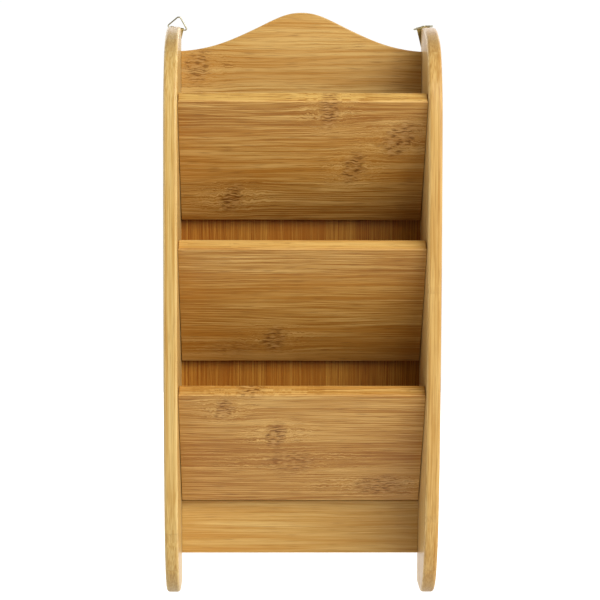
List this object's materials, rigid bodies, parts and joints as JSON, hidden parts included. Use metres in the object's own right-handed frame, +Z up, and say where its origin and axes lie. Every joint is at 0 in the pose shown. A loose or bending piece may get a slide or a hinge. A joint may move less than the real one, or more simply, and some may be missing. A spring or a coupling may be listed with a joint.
{
  "type": "brochure rack",
  "caption": "Wall-hung bamboo rack: bowed side boards, ogee crest and tiers of slanted pocket fronts for brochures or letters, hung by wire triangle rings at the top.",
  "frame": {"origin": "on the wall plane (the rear face of the crest board), on the centre line, level with the tops of the sides", "axes": "+Z up, +Y into the wall, +X to the right seen from the front; the pockets face -Y"},
  "size_m": [0.1894, 0.093, 0.41],
  "materials": {
    "bamboo_side": "clear satin lacquer, grain upright",
    "bamboo_board": "clear satin lacquer, grain across",
    "bamboo_sheet": "clear satin lacquer, grain upright",
    "dowel_wood": "plain",
    "brass_strap": "plated, slightly dull",
    "brass_wire": "plated wire",
    "brass_screw": "plated"
  },
  "bodies": {
    "rack": {"left_side": "bamboo_side", "right_side": "bamboo_side", "crest_board": "bamboo_board", "back_panel": "bamboo_sheet", "bottom_rail": "bamboo_board", "front_top": "bamboo_board", "front_middle": "bamboo_board", "front_bottom": "bamboo_board", "dowels": "dowel_wood", "strap_left": "brass_strap", "strap_right": "brass_strap", "hanger_screws": "brass_screw"},
    "left_ring": {"ring_left": "brass_wire"},
    "right_ring": {"ring_right": "brass_wire"}
  },
  "joints": [
    {"name": "left_ring_hinge", "type": "hinge", "parent": "rack", "child": "left_ring", "pos_m": [-0.0881, 0.00118, -0.0012], "axis": [0.9833, 0, -0.1822], "range_deg": [-170, 68]},
    {"name": "right_ring_hinge", "type": "hinge", "parent": "rack", "child": "right_ring", "pos_m": [0.0866, 0.00118, -0.0001], "axis": [0.9833, 0, 0.1822], "range_deg": [-253, 0]}
  ]
}
